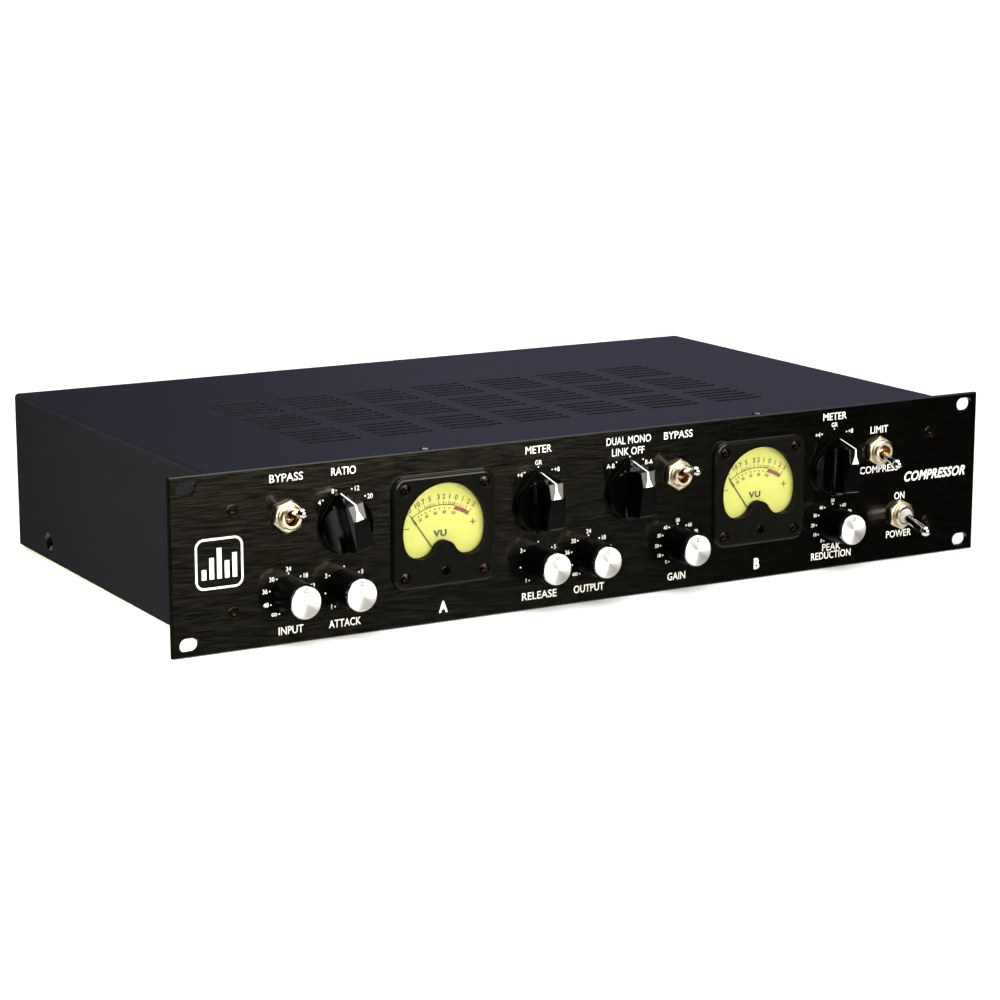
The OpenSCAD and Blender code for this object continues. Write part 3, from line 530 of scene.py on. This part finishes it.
panel_ink = Print()
for words, x, z, span in LABELS:
    panel_ink.text(words, x, z, LABEL, span=span, weight=LABEL_WEIGHT)
for cap_name, (marks, radius, cap) in DIALS.items():
    spot = middle(cap_name)
    dial_marks(panel_ink, spot.x, spot.z, marks, radius, cap)
for x, z, marks in SELECTORS:
    dial_marks(panel_ink, x, z, marks, SELECTOR_R, SELECTOR_CAP)
emblem(panel_ink, -216.3, 0.3)
panel_ink.text("COMPRESSOR", 213.0, 1.2, 5.0, span=42.0, weight=0.025, slant=0.3)
for side, letter in ((-1, "A"), (1, "B")):
    panel_ink.text(letter, side * 95, -36.1, 5.4, weight=0.035)
panel_ink.build("panel_print", "chassis", FACE - PRINT_LIFT, [WHITE_INK])


# ---------------------------------------------------------------- meters

SCALE_R = 28.4
DIGIT_R, DIGIT_CAP = 32.5, 2.4
DOTS_R = 26.6
SHARE_R, SHARE_CAP = 24.6, 1.5
RED_FROM = 16
ADJUSTER_DROP = 4.4
VOLUME = [
    (-34.9, "20"), (-24.7, "10"), (-18.0, "7"), (-11.2, "5"), (-2.4, "3"), (2.8, "2"), (8.8, "1"),
    (15.6, "0"),
]
OVER = [(22.4, "1"), (28.8, "2"), (34.8, "3")]
BETWEEN = [-16.3, -14.6, -13.0, -8.9, -6.8, 5.8, 10.8, 12.6, 14.2, 17.8, 20.1, 25.6]
SHARE = [
    (-28.3, "20"), (-24.3, ""), (-19.2, "40"), (-13.3, ""), (-7.4, "60"), (-1.7, ""), (4.4, "80"), (10.0, ""),
    (16.0, "100"),
]

for letter in "ab":
    adjuster = middle(f"meter_{letter}_adjuster")
    x, pivot_z = adjuster.x, adjuster.z + ADJUSTER_DROP
    pivot = (x, pivot_z)
    ink = Print()
    ink.band(pivot, SCALE_R - 0.25, SCALE_R + 0.2, -35.2, 15.6)
    ink.band(pivot, SCALE_R - 2.2, SCALE_R - 0.1, 16.2, 35.0, ink=1)
    for angle, word in VOLUME + OVER:
        shade = 1 if angle > RED_FROM else 0
        turn = math.radians(angle)
        ink.spoke(pivot, SCALE_R, SCALE_R + 1.9, angle, 0.42, ink=shade)
        ink.text(word, x + DIGIT_R * math.sin(turn), pivot_z + DIGIT_R * math.cos(turn), DIGIT_CAP, ink=shade,
                 turn=angle, width=1.0, weight=0.03)
    for angle in BETWEEN:
        ink.spoke(pivot, SCALE_R, SCALE_R + 1.4, angle, 0.36, ink=1 if angle > RED_FROM else 0)
    for angle, word in SHARE:
        turn = math.radians(angle)
        ink.disc(x + DOTS_R * math.sin(turn), pivot_z + DOTS_R * math.cos(turn), DOT_R)
        if word:
            ink.text(word, x + SHARE_R * math.sin(turn), pivot_z + SHARE_R * math.cos(turn), SHARE_CAP,
                     turn=angle, weight=0.04)
    ink.text("VU", x - 0.4, pivot_z + 14.0, 2.9, span=7.8, weight=0.06)
    ink.box(x - 21.2, pivot_z + 17.7, x - 17.8, pivot_z + 18.2)
    ink.box(x + 16.5, pivot_z + 17.7, x + 19.7, pivot_z + 18.25, ink=1)
    ink.box(x + 17.8, pivot_z + 16.4, x + 18.4, pivot_z + 19.6, ink=1)
    ink.build(f"meter_{letter}_print", "chassis", DIAL - PRINT_LIFT, [BLACK_INK, RED_INK])


WINDOW_R = 24.8
LINER_GAP = 0.03


def window_liner(letter):
    """The wall of the meter's window, copied a hair inside it so that it can be matt."""
    bezel = NODES[f"meter_{letter}_bezel"]
    low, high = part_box(f"meter_{letter}_bezel")
    centre = (low + high) / 2
    verts, faces = [], []
    for face in bezel.data.polygons:
        spot = bezel.matrix_world @ face.center
        if abs(face.normal.y) > 0.3 or math.hypot(spot.x - centre.x, spot.z - centre.z) > WINDOW_R * MM:
            continue
        start = len(verts)
        for v in face.vertices:
            verts.append((bezel.matrix_world @ bezel.data.vertices[v].co + face.normal * LINER_GAP * MM) / MM)
        faces.append(range(start, start + len(face.vertices)))
    add_piece(f"meter_{letter}_liner", "chassis", verts, faces, [MATT])


for letter in "ab":
    window_liner(letter)


# ---------------------------------------------------------------- knobs

CAP_R, CAP_TALL = 8.2, 3.0
CAP_PROFILE = filleted([(0, 0), (CAP_R, 0), (CAP_R, 2.45), (7.75, CAP_TALL), (0, CAP_TALL)], 0.25)
MARK_RISE = 5.8
MARK_INNER, MARK_OUTER = 0.62, 1.1


def cap_material(r, h):
    """The rim and back of a cap are polished, and its front is spun."""
    return 1 if r > 7.9 or h < 1 else 0


for name in KNOBS:
    body = f"{name}_control"
    spot = middle(f"{name}_cap")
    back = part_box(f"{name}_cap")[1].y / MM
    verts, faces, mats = turned(CAP_PROFILE, 128, cap_material)
    cap = add_piece(f"{name}_spun_cap", body, verts, faces, [LOOKS["cap_silver"], BAND], mats,
                    (spot.x, back, spot.z))
    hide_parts(f"{name}_cap")
    ring = Print()
    ring.band((spot.x, spot.z + MARK_RISE), MARK_INNER, MARK_OUTER, 0, 360)
    ring.disc(spot.x, spot.z + MARK_RISE, MARK_INNER, ink=1)
    ring.build(f"{name}_mark", body, back - CAP_TALL - PRINT_LIFT, [RING, WHITE_INK])


# ---------------------------------------------------------------- toggle bushings

REACH = 5.8
RIM, BORE_DEPTH = 0.4, 2.0
BORES = {
    "bypass_a": (-180.3, 19.3, 3.87), "bypass_b": (44.3, 17.6, 3.87), "mode": (174.2, 17.6, 3.87),
    "power": (189.8, -19.2, 4.87),
}
for name, (x, z, radius) in BORES.items():
    verts, faces, mats = turned([(radius, REACH - RIM), (radius, -BORE_DEPTH)], 48)
    add_piece(f"{name}_bore", "chassis", verts, faces, [BORE], mats, (x, FACE, z))


# ---------------------------------------------------------------- pointer knobs

NOSE = [(4.2, 19.2), (8.4, 18.84), (12.2, 18.5), (15.5, 4.4)]
HALF_WIDTHS = [2.2, 0.6, 0.42, 0.34]
LINE_LIFT = 0.04
POINTERS = {
    "ratio_pointer": ("ratio_selector", -149.6, 13.5, -15),
    "meter_a_pointer": ("meter_a_selector", -40.0, 12.0, -3),
    "link_pointer": ("link_selector", 14.6, 12.8, -4),
    "meter_b_pointer": ("meter_b_selector", 144.4, 12.0, 3),
}

for name, (body, x, z, turn) in POINTERS.items():
    c, s = math.cos(math.radians(turn)), math.sin(math.radians(turn))
    verts, faces = [], []
    for (up, d), half in zip(NOSE, HALF_WIDTHS):
        out = up + LINE_LIFT
        for side in (-half, half):
            verts.append((side * c + out * s, -d - LINE_LIFT, out * c - side * s))
    for i in range(len(NOSE) - 1):
        faces.append([2 * i, 2 * i + 1, 2 * i + 3, 2 * i + 2])
    add_piece(f"{name}_line", body, verts, faces, [WHITE_INK], origin=(x, FACE, z), sharp=1)


# ---------------------------------------------------------------- studio

def world_light():
    """A dark studio: a warm softbox ahead, a dim card behind on the left, light from above and below."""
    world = bpy.data.worlds.new("studio")
    bpy.context.scene.world = world
    world.use_nodes = True
    nodes, links = world.node_tree.nodes, world.node_tree.links
    nodes.clear()
    place = nodes.new("ShaderNodeTexCoord")
    split = nodes.new("ShaderNodeSeparateXYZ")
    links.new(place.outputs["Generated"], split.inputs[0])
    x, y, z = split.outputs

    def smooth(value, low, high):
        """Goes from 0 at low to 1 at high, where low may be the larger one."""
        made = nodes.new("ShaderNodeMapRange")
        made.interpolation_type = "SMOOTHSTEP"
        made.inputs["From Min"].default_value = low
        made.inputs["From Max"].default_value = high
        links.new(value, made.inputs["Value"])
        return made.outputs["Result"]

    def product(*factors):
        made = factors[0]
        for factor in factors[1:]:
            made = maths(world, "MULTIPLY", made, factor)
        return made

    def layer(amount, color, below):
        """Adds light of a colour, as strong as amount, to the light below it."""
        made = nodes.new("ShaderNodeVectorMath")
        made.operation = "MULTIPLY_ADD"
        made.inputs[0].default_value = color
        links.new(amount, made.inputs[1])
        if isinstance(below, tuple):
            made.inputs[2].default_value = below
        else:
            links.new(below, made.inputs[2])
        return made.outputs["Vector"]

    ahead = maths(world, "MULTIPLY", y, -1.0)
    right_ahead = maths(world, "DIVIDE", x, maths(world, "MAXIMUM", ahead, 0.05))
    right_behind = maths(world, "DIVIDE", x, maths(world, "MAXIMUM", y, 0.05))
    softbox_ahead = product(smooth(ahead, 0.1, 0.5), smooth(right_ahead, 0.67, 0.57),
                            smooth(right_ahead, -0.35, -0.15), smooth(z, -0.13, -0.03), smooth(z, 0.46, 0.36))
    left_behind = product(smooth(y, 0.3, 0.7), smooth(right_behind, -0.38, -0.60), smooth(z, -0.45, -0.3),
                          smooth(z, 0.14, 0.05))
    glint = product(smooth(y, 0.6, 0.8), smooth(right_behind, -0.55, -0.60),
                    smooth(right_behind, -0.76, -0.70), smooth(z, 0.03, 0.06), smooth(z, 0.18, 0.14))
    behind = product(smooth(y, 0.1, 0.4), smooth(z, -0.15, 0.0), smooth(z, 0.6, 0.4))
    light = layer(behind, (0.040, 0.041, 0.066), (0.004, 0.004, 0.0045))
    light = layer(product(behind, smooth(right_behind, 0.38, 0.58)), (0.079, 0.082, 0.120), light)
    light = layer(smooth(z, 0.7, 0.92), (3.2, 3.2, 3.2), light)
    light = layer(smooth(z, -0.36, -0.6), (1.0, 0.97, 0.9), light)
    light = layer(softbox_ahead, (10.6, 10.1, 8.8), light)
    light = layer(left_behind, (0.12, 0.12, 0.12), light)
    light = layer(glint, (1.4, 1.45, 1.5), light)

    seen = nodes.new("ShaderNodeLightPath")
    mix = nodes.new("ShaderNodeMixShader")
    glow, backdrop = nodes.new("ShaderNodeBackground"), nodes.new("ShaderNodeBackground")
    backdrop.inputs["Color"].default_value = (1, 1, 1, 1)
    backdrop.inputs["Strength"].default_value = 1.05
    links.new(light, glow.inputs["Color"])
    links.new(seen.outputs["Is Camera Ray"], mix.inputs["Fac"])
    links.new(glow.outputs[0], mix.inputs[1])
    links.new(backdrop.outputs[0], mix.inputs[2])
    out = nodes.new("ShaderNodeOutputWorld")
    links.new(mix.outputs[0], out.inputs["Surface"])


def softbox(name, size, power, place, target, color=(1, 1, 1)):
    """A lamp that gives soft light but does not mirror in the object."""
    light = bpy.data.lights.new(name, "AREA")
    light.shape = "RECTANGLE"
    light.size, light.size_y = size
    light.energy = power
    light.color = color
    holder = bpy.data.objects.new(name, light)
    holder.location = place
    holder.rotation_euler = (Vector(target) - Vector(place)).to_track_quat("-Z", "Y").to_euler()
    holder.visible_glossy = False
    bpy.context.scene.collection.objects.link(holder)


FLOOR_HALF, FLOOR_GAP = 9.0, 0.0002


def floor():
    """A plain white floor just under the object."""
    half = FLOOR_HALF
    bottom = CAD_BOX[0].z - FLOOR_GAP
    mesh = bpy.data.meshes.new("floor")
    corners = [(-half, -half, bottom), (half, -half, bottom), (half, half, bottom), (-half, half, bottom)]
    mesh.from_pydata(corners, [], [(0, 1, 2, 3)])
    material = principled("floor_white", (0.93, 0.93, 0.93), 0.9)
    mesh.materials.append(material)
    plane = bpy.data.objects.new("floor", mesh)
    plane.visible_glossy = False
    bpy.context.scene.collection.objects.link(plane)


AZIMUTH, ELEVATION = -29.802, 11.882
DISTANCE, TARGET = 1400.79, (-62.33, -3.0, 14.93)
SENSOR, LENS = 36.0, 100.52


def camera():
    """A camera in front of the object, to its left and above it, in degrees and mm."""
    azimuth, elevation = math.radians(AZIMUTH), math.radians(ELEVATION)
    distance, target = DISTANCE * MM, Vector(TARGET) * MM
    flat = math.cos(elevation)
    back = Vector((math.sin(azimuth) * flat, -math.cos(azimuth) * flat, math.sin(elevation)))
    data = bpy.data.cameras.new("camera")
    data.sensor_width = SENSOR
    data.lens = LENS
    data.clip_start, data.clip_end = 0.05, 60
    holder = bpy.data.objects.new("camera", data)
    holder.location = target + back * distance
    holder.rotation_euler = (-back).to_track_quat("-Z", "Y").to_euler()
    bpy.context.scene.collection.objects.link(holder)
    bpy.context.scene.camera = holder


world_light()
softbox("strip_above", (1.6, 0.25), 14, (-0.3, -0.7, 1.0), (0, 0, 0))
softbox("side_lamp", (0.2, 0.2), 6, (-0.56, 0.06, 0.05), (-0.219, 0.06, 0.0), (1, 0.99, 0.74))
floor()
camera()
bpy.context.scene.view_settings.view_transform = "Standard"
